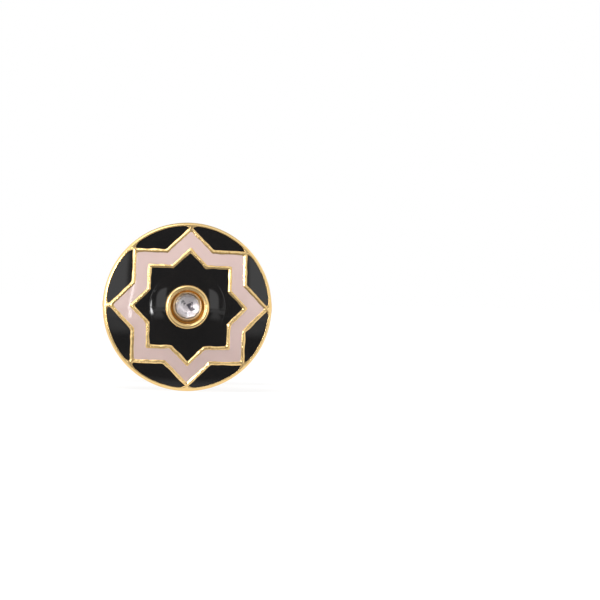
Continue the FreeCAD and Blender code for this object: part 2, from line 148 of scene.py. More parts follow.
def add_node(tree, kind, inputs=None, **settings):
    """Add a node, set its properties, and link or set its inputs."""
    node = tree.nodes.new(kind)
    for name, value in settings.items():
        setattr(node, name, value)
    for name, value in (inputs or {}).items():
        if isinstance(value, bpy.types.NodeSocket):
            tree.links.new(value, node.inputs[name])
        else:
            node.inputs[name].default_value = value
    return node


def new_material(name):
    """An empty node material: its tree, its principled shader and its object coordinates."""
    material = bpy.data.materials.new(name)
    material.use_nodes = True
    tree = material.node_tree
    place = add_node(tree, "ShaderNodeTexCoord").outputs["Object"]
    return material, tree, tree.nodes["Principled BSDF"], place


# Gold plate over brass rubbed down with the enamel: satin and a little pale, with fine pits that hold brown
# polish.
rubbed_gold, tree, gold_shader, place = new_material("rubbed_gold_plate")
pits = add_node(tree, "ShaderNodeTexNoise", {
    "Vector": place, "Scale": 1 / (0.16 * MM), "Detail": 3.0, "Roughness": 0.6})
rubbed = add_node(tree, "ShaderNodeMix", {
    0: pits.outputs["Fac"], 6: srgb("#E8BC74"), 7: srgb("#FCE0A8")}, data_type="RGBA")
soiled = add_node(tree, "ShaderNodeMapRange", {
    "Value": pits.outputs["Fac"], "From Min": 0.43, "From Max": 0.35, "To Min": 0.0, "To Max": 0.6})
tone = add_node(tree, "ShaderNodeMix", {
    0: soiled.outputs["Result"], 6: rubbed.outputs[2], 7: srgb("#A4733A")}, data_type="RGBA")
gloss = add_node(tree, "ShaderNodeMapRange", {
    "Value": pits.outputs["Fac"], "From Min": 0.3, "From Max": 0.7, "To Min": 0.27, "To Max": 0.16})
relief = add_node(tree, "ShaderNodeBump", {
    "Height": pits.outputs["Fac"], "Strength": 0.5, "Distance": 0.03 * MM})
tree.links.new(tone.outputs[2], gold_shader.inputs["Base Color"])
tree.links.new(gloss.outputs["Result"], gold_shader.inputs["Roughness"])
tree.links.new(relief.outputs["Normal"], gold_shader.inputs["Normal"])
gold_shader.inputs["Metallic"].default_value = 1.0

# Bright gold plate over polished brass: warm yellow reflections, with a faint cloudiness and fine
# polishing lines. The real lines are finer than a pixel, so they are drawn 0.12 mm apart.
polished_gold, tree, gold_shader, place = new_material("polished_gold_plate")
cloud = add_node(tree, "ShaderNodeTexNoise", {"Vector": place, "Scale": 1 / (1.6 * MM), "Detail": 3.0})
tone = add_node(tree, "ShaderNodeMix", {
    0: cloud.outputs["Fac"], 6: srgb("#F8D48F"), 7: srgb("#F2C67A")}, data_type="RGBA")
lines = add_node(tree, "ShaderNodeMapping", {"Vector": place, "Scale": (0.06, 1.0, 1.0)})
grain = add_node(tree, "ShaderNodeTexNoise", {
    "Vector": lines.outputs["Vector"], "Scale": 1 / (0.12 * MM), "Detail": 2.0})
gloss = add_node(tree, "ShaderNodeMapRange", {
    "Value": grain.outputs["Fac"], "From Min": 0.3, "From Max": 0.7, "To Min": 0.08, "To Max": 0.15})
relief = add_node(tree, "ShaderNodeBump", {
    "Height": grain.outputs["Fac"], "Strength": 0.12, "Distance": 0.01 * MM})
tree.links.new(tone.outputs[2], gold_shader.inputs["Base Color"])
tree.links.new(gloss.outputs["Result"], gold_shader.inputs["Roughness"])
tree.links.new(relief.outputs["Normal"], gold_shader.inputs["Normal"])
gold_shader.inputs["Metallic"].default_value = 1.0

# Gold plate burnished on the lathe: smooth and pale, with soft clouds of tone and fine turning lines.
# The real lines are finer than a pixel, so they are drawn about 0.1 mm apart.
burnished_gold, tree, gold_shader, place = new_material("burnished_gold_plate")
cloud = add_node(tree, "ShaderNodeTexNoise", {"Vector": place, "Scale": 1 / (0.7 * MM), "Detail": 3.0})
tone = add_node(tree, "ShaderNodeMix", {
    0: cloud.outputs["Fac"], 6: srgb("#EFC680"), 7: srgb("#FADCA2")}, data_type="RGBA")
gloss = add_node(tree, "ShaderNodeMapRange", {
    "Value": cloud.outputs["Fac"], "From Min": 0.3, "From Max": 0.7, "To Min": 0.26, "To Max": 0.17})
turned = add_node(tree, "ShaderNodeTexWave", {
    "Vector": place, "Scale": 1 / (1.2 * MM), "Distortion": 1.5, "Detail": 2.0},
    wave_type="RINGS", rings_direction="Y")
relief = add_node(tree, "ShaderNodeBump", {
    "Height": turned.outputs["Fac"], "Strength": 0.12, "Distance": 0.01 * MM})
tree.links.new(tone.outputs[2], gold_shader.inputs["Base Color"])
tree.links.new(gloss.outputs["Result"], gold_shader.inputs["Roughness"])
tree.links.new(relief.outputs["Normal"], gold_shader.inputs["Normal"])
gold_shader.inputs["Metallic"].default_value = 1.0

# Gold plate over as-cast brass: a satin grain of about 0.2 mm, with painted shade that turns its hollows a
# deeper orange, and sparse brown pores 0.1 mm across.
cast_gold, tree, gold_shader, place = new_material("cast_gold_plate")
sand = add_node(tree, "ShaderNodeTexNoise", {
    "Vector": place, "Scale": 1 / (0.22 * MM), "Detail": 4.0, "Roughness": 0.6})
# Painted shade: where the grain's bump is low, its hollows are coloured a deeper orange.
grain_with_hollow_shade = add_node(tree, "ShaderNodeMix", {
    0: sand.outputs["Fac"], 6: srgb("#E2AC54"), 7: srgb("#F8D28A")}, data_type="RGBA")
pores = add_node(tree, "ShaderNodeTexVoronoi", {"Vector": place, "Scale": 1 / (0.8 * MM), "Randomness": 1.0})
ragged = add_node(tree, "ShaderNodeMath", {
    0: sand.outputs["Fac"], 1: 0.45, 2: pores.outputs["Distance"]}, operation="MULTIPLY_ADD")
speck = add_node(tree, "ShaderNodeMapRange", {
    "Value": ragged.outputs[0], "From Min": 0.24, "From Max": 0.34, "To Min": 0.7, "To Max": 0.0})
tone = add_node(tree, "ShaderNodeMix", {
    0: speck.outputs["Result"], 6: grain_with_hollow_shade.outputs[2], 7: srgb("#9A6A2C")}, data_type="RGBA")
gloss = add_node(tree, "ShaderNodeMapRange", {
    "Value": sand.outputs["Fac"], "From Min": 0.3, "From Max": 0.7, "To Min": 0.42, "To Max": 0.26})
relief = add_node(tree, "ShaderNodeBump", {
    "Height": sand.outputs["Fac"], "Strength": 0.5, "Distance": 0.03 * MM})
tree.links.new(tone.outputs[2], gold_shader.inputs["Base Color"])
tree.links.new(gloss.outputs["Result"], gold_shader.inputs["Roughness"])
tree.links.new(relief.outputs["Normal"], gold_shader.inputs["Normal"])
gold_shader.inputs["Metallic"].default_value = 1.0


def dome(radius):
    """Depth of the domed front at a distance from the post's axis."""
    return DOME_CENTRE - math.sqrt(DOME_RADIUS ** 2 - radius ** 2)


def star_turn(angle, half_side):
    """Angle round the stars' own middle, which lies a little to the right of the post's axis."""
    return angle + STAR_DRIFT * math.sin(angle) / (STAR_REACH_SHARE * half_side)


def star(angle, half_side):
    """Distance from the axis to the outline of an eight-pointed star with softened corners."""
    fold = math.acos(STAR_CORNER * math.cos(STAR_POINTS * star_turn(angle, half_side))) / STAR_POINTS
    return half_side / math.cos(math.pi / 4 - fold) + STAR_DRIFT * math.cos(angle)


def from_tip(angle):
    """Distance along the rim from the nearest tip of the outer star."""
    return math.acos(math.cos(STAR_POINTS * star_turn(angle, OUTER_STAR))) / STAR_POINTS * CELL_RADIUS


def cell_edge(angle):
    """Inside of the rim, a little nearer the edge on the right, with a fillet at each tip of the star."""
    fillet = TIP_FILLET * math.exp(-(from_tip(angle) / TIP_SPREAD) ** 2)
    return CELL_RADIUS + CELL_DRIFT * math.cos(angle) - fillet


def wander(angle, radius, grain_size, seed):
    """Smooth noise over the face, from about -1 to 1."""
    spot = Vector((math.cos(angle), math.sin(angle), 0)) * radius / grain_size
    return noise.noise(spot + Vector((0, 0, SEED_STEP * seed)))


def filled(angle, drop):
    """A drop below the dome, taken up where a star tip runs into the rim."""
    return min(drop, max(from_tip(angle) - TIP_PATCH, 0) * TIP_SLOPE)


def wall_point(angle, half_side, offset, drop):
    """A point of a cell wall, whose line and height waver as in a hand-finished casting."""
    side = math.copysign(1, offset)
    rough = wander(angle, half_side, WALL_GRAIN, side)
    radius = star(angle, half_side + offset * (1 + WALL_WAVER * rough))
    radius = min(radius, cell_edge(angle) - (WALL_SECTION[-1][0] - offset) * TIP_SPACING)
    crest = CREST_WAVER * wander(angle, half_side, CREST_GRAIN, CREST_SEED)
    if half_side == OUTER_STAR and offset > 0:
        drop = filled(angle, drop)
    return radius, dome(radius) + drop + crest


# The rim's top runs on from the dome in a round that ends on the side wall.
RIM_SLOPE = math.asin(FACE_RADIUS / DOME_RADIUS)
RIM_CREST = FACE_RADIUS - RIM_ROUND * (1 - math.sin(RIM_SLOPE))


def rim_point(angle, offset, drop):
    """A point of the rim's inner flank."""
    radius = cell_edge(angle) + offset + RIM_WAVER * wander(angle, CELL_RADIUS, RIM_GRAIN, RIM_SEED)
    radius = min(radius, RIM_CREST - FLANK_LEAN * drop)
    return radius, dome(radius) + filled(angle, drop)


def plain_point(angle, radius, depth):
    """A point of a plain turned ring."""
    return radius, depth


# Where the cast back is wrinkled: middle and spread in degrees round the face, and how deep.
WRINKLES = ((-58, 32, 1.0), (-125, 22, 0.55), (90, 24, 0.45))
WRINKLE_LEAST = 0.1
WRINKLE_HEIGHT = 0.08 * MM
WRINKLE_LENGTH = 1.2 * MM
# Wrinkles to a radian round the back, where they start, and how far they take to grow and to fade.
WRINKLE_COUNT = 27
WRINKLE_START = 5.4 * MM
WRINKLE_RUN = 1.6 * MM
WRINKLE_FADE = 0.3 * MM
# The pebbling: height, coarsest grain, fade at the lip, and how much fainter and finer each layer is.
PEBBLE_HEIGHT = 0.02 * MM
PEBBLE_GRAIN = 0.5 * MM
PEBBLE_FADE = 0.25 * MM
PEBBLE_DAMPING = 0.9
PEBBLE_REFINING = 2.0
PEBBLE_LAYERS = 3


def wrinkling(degrees):
    """How much of the wrinkling shows at an angle round the back."""
    shares = [share * math.exp(-((degrees - middle) / spread) ** 2) for middle, spread, share in WRINKLES]
    return WRINKLE_LEAST + sum(shares)


def ramp(value):
    """A value held between 0 and 1."""
    return min(max(value, 0), 1)


def dish_point(angle, radius, depth):
    """A point of the cast back: pebbled all over, with wrinkles that run out towards the lip in places."""
    spot = Vector((math.cos(angle), math.sin(angle), 0)) * radius
    pebbles = noise.fractal(spot / PEBBLE_GRAIN, PEBBLE_DAMPING, PEBBLE_REFINING, PEBBLE_LAYERS)
    pebbles *= PEBBLE_HEIGHT * ramp((LIP_RADIUS - radius) / PEBBLE_FADE)
    across = Vector((math.cos(angle), math.sin(angle), 0)) * WRINKLE_COUNT
    across.z = radius / WRINKLE_LENGTH
    wrinkles = noise.noise(across) * WRINKLE_HEIGHT * wrinkling(math.degrees(angle))
    wrinkles *= ramp((radius - WRINKLE_START) / WRINKLE_RUN) * ramp((LIP_RADIUS - radius) / WRINKLE_FADE)
    return radius, depth + pebbles + wrinkles


def place_ring(verts, point, values):
    """Set a ring's vertices by their angle round the post's axis."""
    for vert in verts:
        angle = math.atan2(vert.co.z, vert.co.x)
        radius, depth = point(angle, *values)
        vert.co = radius * math.cos(angle), depth, radius * math.sin(angle)


def first_ring(bm, point, *values):
    """Start a skin: the edges of one ring round the post's axis."""
    upright = Matrix.Rotation(math.pi / 2, 4, "X")
    verts = bmesh.ops.create_circle(bm, segments=RING_STEPS, radius=1, matrix=upright)["verts"]
    place_ring(verts, point, values)
    return list({edge for vert in verts for edge in vert.link_edges})


def add_rings(bm, edges, rings, slot=0):
    """Extrude a ring of edges through a list of rings, each a point function and its values."""
    for point, *values in rings:
        made = bmesh.ops.extrude_edge_only(bm, edges=edges)["geom"]
        place_ring([item for item in made if isinstance(item, bmesh.types.BMVert)], point, values)
        edges = [item for item in made if isinstance(item, bmesh.types.BMEdge)]
        for face in made:
            if isinstance(face, bmesh.types.BMFace):
                face.material_index = slot
    return edges


def add_piece(name, bm, *materials):
    """Weld a mesh, turn its faces outwards and put it in the scene as a smooth piece."""
    bmesh.ops.remove_doubles(bm, verts=bm.verts, dist=MERGE)
    bmesh.ops.recalc_face_normals(bm, faces=bm.faces)
    mesh = bpy.data.meshes.new(name)
    bm.to_mesh(mesh)
    bm.free()
    mesh.shade_smooth()
    for material in materials:
        mesh.materials.append(material)
    piece = bpy.data.objects.new(name, mesh)
    bpy.context.collection.objects.link(piece)
    return piece


def wall_rings(half_side):
    """The rings of one star-shaped wall, from its outside to its inside."""
    outside = [(wall_point, half_side, offset, drop) for offset, drop in reversed(WALL_SECTION)]
    inside = [(wall_point, half_side, -offset, drop) for offset, drop in WALL_SECTION[1:]]
    return outside + inside


# The casting's material slots, in the order in which it is given its materials.
RUBBED, POLISHED, CAST, BURNISHED = range(4)

bm = bmesh.new()
crest = first_ring(bm, plain_point, RIM_CREST, dome(RIM_CREST))
front = [(rim_point, offset, drop) for offset, drop in RIM_SECTION]
front += wall_rings(OUTER_STAR) + wall_rings(INNER_STAR)
front += [(plain_point, BEZEL_SEAT, dome(BEZEL_SEAT) + CELL_DEPTH), (plain_point, 0, dome(0) + CELL_DEPTH)]
add_rings(bm, crest, front, RUBBED)

shoulder = []
for step in range(1, SHOULDER_STEPS + 1):
    turn = RIM_SLOPE + (math.pi / 2 - RIM_SLOPE) * step / SHOULDER_STEPS
    radius = FACE_RADIUS - RIM_ROUND * (1 - math.sin(turn))
    depth = dome(RIM_CREST) + RIM_ROUND * (math.cos(RIM_SLOPE) - math.cos(turn))
    shoulder.append((plain_point, radius, depth))
shoulder = add_rings(bm, crest, shoulder, BURNISHED)

side = []
for step in range(EDGE_STEPS + 1):
    turn = math.pi / 2 * step / EDGE_STEPS
    radius = FACE_RADIUS - EDGE_ROUND + EDGE_ROUND * math.cos(turn)
    side.append((plain_point, radius, -EDGE_ROUND + EDGE_ROUND * math.sin(turn)))
side += [(plain_point, LIP_RADIUS + offset, depth) for offset, depth in LIP_SECTION]
lip = add_rings(bm, shoulder, side, POLISHED)

back = []
for degrees in range(DISH_EDGE, 0, -DISH_STEP):
    turn = math.radians(degrees)
    radius = DISH_FLOOR + DISH_SWEEP * math.sin(turn)
    back.append((dish_point, radius, DISH_SWEEP * (1 - math.cos(turn)) - DISH_DEPTH))
rings = round(DISH_FLOOR / RING_GAP)
back += [(dish_point, DISH_FLOOR * step / rings, -DISH_DEPTH) for step in range(rings, 0, -1)]
back.append((plain_point, 0, -DISH_DEPTH))
add_rings(bm, lip, back, CAST)

face_casting = add_piece("face_casting", bm, rubbed_gold, polished_gold, cast_gold, burnished_gold)
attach(face_casting, "face")
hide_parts("face_plate")


# Enamel fills: coloured glass paste fired into the cells, rubbed down nearly level with the walls and
# polished. They lie almost flat, and the black middle one swells up round the setting.

FILL_INSET = 0.13 * MM
FILL_EDGE = 0.1 * MM
FILL_MIDDLE = 0.0997 * MM
FILL_ROUND = 0.4 * MM
FILL_BOTTOM = 0.45 * MM
FILL_CLEARANCE = 0.004 * MM
SEAT_OVERLAP = 0.03 * MM
RIM_OVERLAP = 0.02 * MM
RIPPLE_HEIGHT = 0.001 * MM
RIPPLE_GRAIN = 2.6 * MM
RIPPLE_SEED = 3
SWELL_HEIGHT = 0.397 * MM
SWELL_RADIUS = 4.0 * MM
SWELL_BLEND = 0.004 * MM
FILL_STEPS = [0, 0.02] + [step / 20 for step in range(1, 20)] + [0.98, 1]
SWELL_STEPS = [0, 0.02, 0.05] + [step / 40 for step in range(4, 40)]
SWELL_FOOT = 4.35 * MM
TIP_CUT = math.radians(1.3)

# Fired black enamel: a deep glossy black glass, faintly brown, with a slight ripple left by rubbing down.
black_enamel, tree, enamel_shader, place = new_material("black_fired_enamel")
ripple = add_node(tree, "ShaderNodeTexNoise", {"Vector": place, "Scale": 1 / (1.4 * MM), "Detail": 2.0})
tone = add_node(tree, "ShaderNodeMix", {
    0: ripple.outputs["Fac"], 6: srgb("#070708"), 7: srgb("#151211")}, data_type="RGBA")
gloss = add_node(tree, "ShaderNodeMapRange", {
    "Value": ripple.outputs["Fac"], "From Min": 0.3, "From Max": 0.7, "To Min": 0.03, "To Max": 0.06})
relief = add_node(tree, "ShaderNodeBump", {
    "Height": ripple.outputs["Fac"], "Strength": 0.02, "Distance": 0.02 * MM})
tree.links.new(tone.outputs[2], enamel_shader.inputs["Base Color"])
tree.links.new(gloss.outputs["Result"], enamel_shader.inputs["Roughness"])
tree.links.new(relief.outputs["Normal"], enamel_shader.inputs["Normal"])
enamel_shader.inputs["IOR"].default_value = 1.4

# Fired pink enamel: opaque blush glass, softly mottled, with the same rubbed gloss.
pink_enamel, tree, enamel_shader, place = new_material("pink_fired_enamel")
mottle = add_node(tree, "ShaderNodeTexNoise", {
    "Vector": place, "Scale": 1 / (2.2 * MM), "Detail": 4.0, "Roughness": 0.55})
tone = add_node(tree, "ShaderNodeMix", {
    0: mottle.outputs["Fac"], 6: srgb("#E0C6C2"), 7: srgb("#D6BDB5")}, data_type="RGBA")
gloss = add_node(tree, "ShaderNodeMapRange", {
    "Value": mottle.outputs["Fac"], "From Min": 0.3, "From Max": 0.7, "To Min": 0.03, "To Max": 0.06})
tree.links.new(tone.outputs[2], enamel_shader.inputs["Base Color"])
tree.links.new(gloss.outputs["Result"], enamel_shader.inputs["Roughness"])
enamel_shader.inputs["IOR"].default_value = 1.4


def star_edge(angle, half_side):
    """Edge of a fill along a star-shaped wall, kept off the rim."""
    return min(star(angle, half_side), cell_edge(angle) - FILL_CLEARANCE)


def rim_edge(angle, offset):
    """Edge of a fill along the rim."""
    return cell_edge(angle) + offset


def ring_edge(angle, radius):
    """Edge of a fill round the setting."""
    return radius


def fill_point(angle, inner, outer, lines, share, drop, swell):
    """A point across a fill, a share of the way between two lines; without a drop it is on the surface."""
    near = inner[0](angle, inner[1])
    far = outer[0](angle, outer[1])
    start, stop = (line(angle, size) for line, size in lines)
    radius = start + (stop - start) * share
    if drop:
        return radius, dome(radius) + drop
    edge = min(min(radius - near, far - radius) / FILL_ROUND, 1)
    drop = FILL_EDGE + (FILL_MIDDLE - FILL_EDGE) * (1 - (1 - edge) ** 2)
    bulge = swell * (1 - (radius / SWELL_RADIUS) ** 2)
    rise = SWELL_BLEND * math.log1p(math.exp(bulge / SWELL_BLEND)) if swell else 0
    ripple = RIPPLE_HEIGHT * wander(angle, radius, RIPPLE_GRAIN, RIPPLE_SEED)
    return radius, dome(radius) + drop - rise + ripple


def fill_mesh(inner, outer, swell=0):
    """A closed ring of enamel between two edges, each an outline function and its size."""
    bm = bmesh.new()
    lines = (inner, outer)
    top = []
    if swell:
        foot = (ring_edge, SWELL_FOOT)
        top = [(fill_point, inner, outer, (inner, foot), share, 0, swell) for share in SWELL_STEPS]
        lines = (foot, outer)
    top += [(fill_point, inner, outer, lines, share, 0, swell) for share in FILL_STEPS]
    bottom = [(fill_point, inner, outer, (inner, outer), share, FILL_BOTTOM, 0) for share in (1, 0)]
    edges = first_ring(bm, *top[0])
    add_rings(bm, edges, top[1:] + bottom + top[:1])
    bmesh.ops.remove_doubles(bm, verts=bm.verts, dist=MERGE)
    return bm


band_fill = add_piece("band_fill", fill_mesh(
    (star_edge, INNER_STAR + FILL_INSET), (star_edge, OUTER_STAR - FILL_INSET)), pink_enamel)
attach(band_fill, "face")
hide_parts("band_enamel")

centre_fill = add_piece("centre_fill", fill_mesh(
    (ring_edge, BEZEL_SEAT - SEAT_OVERLAP), (star_edge, INNER_STAR - FILL_INSET), SWELL_HEIGHT),
    black_enamel)
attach(centre_fill, "face")
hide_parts("centre_enamel")

rim_band = fill_mesh((star_edge, OUTER_STAR + FILL_INSET), (rim_edge, RIM_OVERLAP))
for number in range(STAR_POINTS):
    bm = rim_band.copy()
    for turn, side in ((number, 1), (number + 1, -1)):
        tip = math.radians(360 / STAR_POINTS * turn)
        angle = 2 * tip - star_turn(tip, OUTER_STAR) + TIP_CUT * side
        across = Vector((math.sin(angle), 0, -math.cos(angle))) * side
        everything = bm.verts[:] + bm.edges[:] + bm.faces[:]
        bmesh.ops.bisect_plane(bm, geom=everything, plane_co=(0, 0, 0), plane_no=across, clear_outer=True)
    bmesh.ops.holes_fill(bm, edges=bm.edges)
    rim_fill = add_piece(f"rim_fill_{number + 1}", bm, black_enamel)
    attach(rim_fill, "face")
    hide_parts(f"rim_enamel_{number + 1}")
rim_band.free()


# Setting ring: a turned brass bezel with a rounded crest, gold plated and set into the casting.
# Its inside slopes down to a trough round the stone, and it is slightly out of true.

SPIN_STEPS = 128
SETTING_WAVER = 0.012 * MM
SETTING_GRAIN = 1.1 * MM


def spin_profile(points, centre, axis):
    """A bmesh turned from a profile of points about an axis."""
    bm = bmesh.new()
    verts = [bm.verts.new(point) for point in points]
    edges = [bm.edges.new(pair) for pair in zip(verts, verts[1:])]
    bmesh.ops.spin(bm, geom=verts + edges, cent=centre, axis=axis, angle=2 * math.pi,
                   steps=SPIN_STEPS, use_merge=True)
    return bm


# The ring's section: radius and depth in millimetres.
SETTING_PROFILE = ((2.37, -2.0), (2.37, -3.05), (2.36, -3.2), (2.33, -3.34), (2.27, -3.46), (2.18, -3.55),
                   (2.09, -3.59), (2.01, -3.58), (1.95, -3.54), (1.91, -3.48), (1.89, -3.47), (1.86, -3.48),
                   (1.82, -3.44), (1.77, -3.30), (1.73, -3.12), (1.69, -2.98), (1.64, -2.91), (1.60, -2.90),
                   (1.60, -2.4), (1.76, -2.36), (1.76, -2.0), (2.37, -2.0))
bm = spin_profile([Vector((radius, depth, 0)) * MM for radius, depth in SETTING_PROFILE],
                  (0, 0, 0), (0, 1, 0))
for vert in bm.verts:
    vert.co += noise.noise_vector(vert.co / SETTING_GRAIN) * SETTING_WAVER
setting_ring = add_piece("setting_ring", bm, burnished_gold)
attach(setting_ring, "face")
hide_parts("bezel_ring")


# Stone collet: a thin brass cup pressed round the stone, with a ragged lip.
# It stands a little off centre inside the setting ring and leaves a narrow dark trough.

STONE_SHIFT = Vector((0.01, 0, 0.1)) * MM
COLLET_LIP_START = 2.8 * MM
COLLET_LIP_RISE = 0.3 * MM
COLLET_LIP_WAVER = 0.045 * MM
COLLET_LIP_GRAIN = 0.4 * MM
# The cup's section: radius and depth in millimetres.
COLLET_PROFILE = ((0.0, -2.0), (1.62, -2.0), (1.62, -2.35), (1.54, -2.37), (1.52, -2.45), (1.52, -2.95),
                  (1.51, -3.05), (1.47, -3.11), (1.41, -3.10), (1.37, -3.03), (1.38, -2.95), (1.42, -2.9),
                  (1.43, -2.8), (1.43, -2.35), (1.3, -2.3), (0.4, -2.12), (0.0, -2.12))

# Gold plate in the hollow of the setting: dulled and browned by polish that stays in it.
dulled_gold, tree, gold_shader, place = new_material("dulled_gold_plate")
grime = add_node(tree, "ShaderNodeTexNoise", {"Vector": place, "Scale": 1 / (0.3 * MM), "Detail": 3.0})
tone = add_node(tree, "ShaderNodeMix", {
    0: grime.outputs["Fac"], 6: srgb("#DDB07A"), 7: srgb("#FBE3BC")}, data_type="RGBA")
relief = add_node(tree, "ShaderNodeBump", {
    "Height": grime.outputs["Fac"], "Strength": 0.4, "Distance": 0.03 * MM})
tree.links.new(tone.outputs[2], gold_shader.inputs["Base Color"])
tree.links.new(relief.outputs["Normal"], gold_shader.inputs["Normal"])
gold_shader.inputs["Metallic"].default_value = 1.0
gold_shader.inputs["Roughness"].default_value = 0.4

bm = spin_profile([Vector((radius, depth, 0)) * MM for radius, depth in COLLET_PROFILE],
                  (0, 0, 0), (0, 1, 0))
for vert in bm.verts:
    lip_share = ramp((-vert.co.y - COLLET_LIP_START) / COLLET_LIP_RISE)
    vert.co += noise.noise_vector(vert.co / COLLET_LIP_GRAIN) * COLLET_LIP_WAVER * lip_share + STONE_SHIFT
stone_collet = add_piece("stone_collet", bm, dulled_gold)
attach(stone_collet, "face")
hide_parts("stone_cup")


# Foil: a bright foil pressed into a shallow dish under the stone, which throws the light out again.
# Dark specks painted round its middle show through the stone, a painted reflection of the dark front.

# Middle of the painted dark specks, which stand in for the stone's reflection of the dark front.
SPECK_MIDDLE = STONE_SHIFT + Vector((0, -2.2, 0)) * MM
# The foil's section: radius and depth in millimetres.
FOIL_PROFILE = ((0.0, -2.16), (0.3, -2.16), (1.36, -2.36), (1.38, -2.375), (1.36, -2.402), (0.3, -2.202),
                (0.0, -2.202))

# Silvered foil, crinkled at about 0.3 mm, with a lilac cast and a few dark specks that are a painted
# reflection.
silver_foil, tree, foil_shader, place = new_material("silvered_foil")
crinkle = add_node(tree, "ShaderNodeTexNoise", {"Vector": place, "Scale": 1 / (0.25 * MM), "Detail": 2.0})
speck_noise = add_node(tree, "ShaderNodeTexNoise", {"Vector": place, "Scale": 1 / (0.55 * MM), "Detail": 1.0})
near_middle = add_node(tree, "ShaderNodeMapping", {
    "Vector": place, "Location": SPECK_MIDDLE / -MM, "Scale": (1 / MM, 1 / MM, 1 / MM)})
middle = add_node(tree, "ShaderNodeTexGradient", {"Vector": near_middle.outputs["Vector"]},
                  gradient_type="SPHERICAL")
# Painted reflection: dark specks round the stone's middle stand in for its table reflecting the dark front.
dark = add_node(tree, "ShaderNodeMath", {
    0: middle.outputs["Fac"], 1: 0.2, 2: speck_noise.outputs["Fac"]}, operation="MULTIPLY_ADD")
painted_reflection_specks = add_node(tree, "ShaderNodeMapRange", {
    "Value": dark.outputs[0], "From Min": 0.68, "From Max": 0.74})
tone = add_node(tree, "ShaderNodeMix", {
    0: painted_reflection_specks.outputs["Result"], 6: srgb("#FCF4F4"), 7: srgb("#5A525C")}, data_type="RGBA")
relief = add_node(tree, "ShaderNodeBump", {
    "Height": crinkle.outputs["Fac"], "Strength": 0.7, "Distance": 0.08 * MM})
tree.links.new(tone.outputs[2], foil_shader.inputs["Base Color"])
tree.links.new(relief.outputs["Normal"], foil_shader.inputs["Normal"])
foil_shader.inputs["Metallic"].default_value = 1.0
foil_shader.inputs["Roughness"].default_value = 0.3

bm = spin_profile([Vector((radius, depth, 0)) * MM for radius, depth in FOIL_PROFILE], (0, 0, 0), (0, 1, 0))
bmesh.ops.translate(bm, vec=STONE_SHIFT, verts=bm.verts)
foil_disc = add_piece("foil_disc", bm, silver_foil)
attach(foil_disc, "face")
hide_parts("stone_foil")


# Stone: a clear glass rose cut, with a small table and rows of uneven facets ground by hand.
# The collet's lip holds it down on the foil.

STONE_SIDES = 12
# Each row of corners, from the small flat under the stone to its table: radius and depth in millimetres,
# and its turn as a share of one side.
STONE_ROWS = ((0.3, -2.206, 0), (1.33, -2.402, 0), (1.36, -2.5, 0), (1.36, -2.84, 0), (1.24, -3.05, 0),
              (0.98, -3.24, 0.5), (0.52, -3.41, 0))
CROWN_DEPTH = -2.9 * MM
CROWN_WAVER = 0.07 * MM
CROWN_GRAIN = 0.5 * MM

# Clear cut glass: colourless, bright at its edges, with a faint haze of wear.
clear_glass, tree, glass_shader, place = new_material("clear_cut_glass")
haze = add_node(tree, "ShaderNodeTexNoise", {"Vector": place, "Scale": 1 / (0.3 * MM), "Detail": 3.0})
gloss = add_node(tree, "ShaderNodeMapRange", {
    "Value": haze.outputs["Fac"], "From Min": 0.45, "From Max": 0.75, "To Min": 0.0, "To Max": 0.04})
tree.links.new(gloss.outputs["Result"], glass_shader.inputs["Roughness"])
glass_shader.inputs["Base Color"].default_value = srgb("#FBFAFC")
glass_shader.inputs["Transmission Weight"].default_value = 1.0
glass_shader.inputs["IOR"].default_value = 1.75

bm = bmesh.new()
rows = []
for radius, depth, turn in STONE_ROWS:
    turned = Matrix.Rotation(2 * math.pi / STONE_SIDES * turn, 4, "Y")
    placed = Matrix.Translation((0, depth * MM, 0)) @ turned @ Matrix.Rotation(math.pi / 2, 4, "X")
    corners = bmesh.ops.create_circle(bm, segments=STONE_SIDES, radius=radius * MM, matrix=placed)["verts"]
    rows.append(list({edge for corner in corners for edge in corner.link_edges}))
for lower, upper in zip(rows, rows[1:]):
    bmesh.ops.bridge_loops(bm, edges=lower + upper)
bmesh.ops.holes_fill(bm, edges=bm.edges)
for vert in bm.verts:
    if vert.co.y < CROWN_DEPTH:
        vert.co += noise.noise_vector(vert.co / CROWN_GRAIN) * CROWN_WAVER
bmesh.ops.triangulate(bm, faces=[face for face in bm.faces if len(face.verts) == 4])
bmesh.ops.translate(bm, vec=STONE_SHIFT, verts=bm.verts)
cut_stone = add_piece("cut_stone", bm, clear_glass)
cut_stone.data.shade_flat()
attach(cut_stone, "face")
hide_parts("stone")


# Post and toggle tube: the polished brass finding, gold plated. The post is soldered into the dish, the tube
# turns between its legs, and a turned plug closes the tube's rolled-in end.

for name in ("post_frame", "toggle_tube", "toggle_end_plug"):
    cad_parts[name].material_slots[0].material = polished_gold


# Hinge pin: a gold plated brass pin set through the post's legs and filed nearly flush. Its edges are eased,
# so that a fine dark line shows round each end. Inside the tube it has four flats for the spring.

PIVOT = Vector((0, 11.8, 0)) * MM
PIN_FLAT = 0.55 * MM
PIN_FLAT_END = 1.3 * MM
# Half of the pin's section: radius and reach along the pin in millimetres.
PIN_PROFILE = ((0.0, 3.235), (0.25, 3.226), (0.45, 3.205), (0.56, 3.175), (0.62, 3.12), (0.66, 3.03),
               (0.7, 2.94), (0.7, 1.31), (0.7, 1.29), (0.7, 0.0))

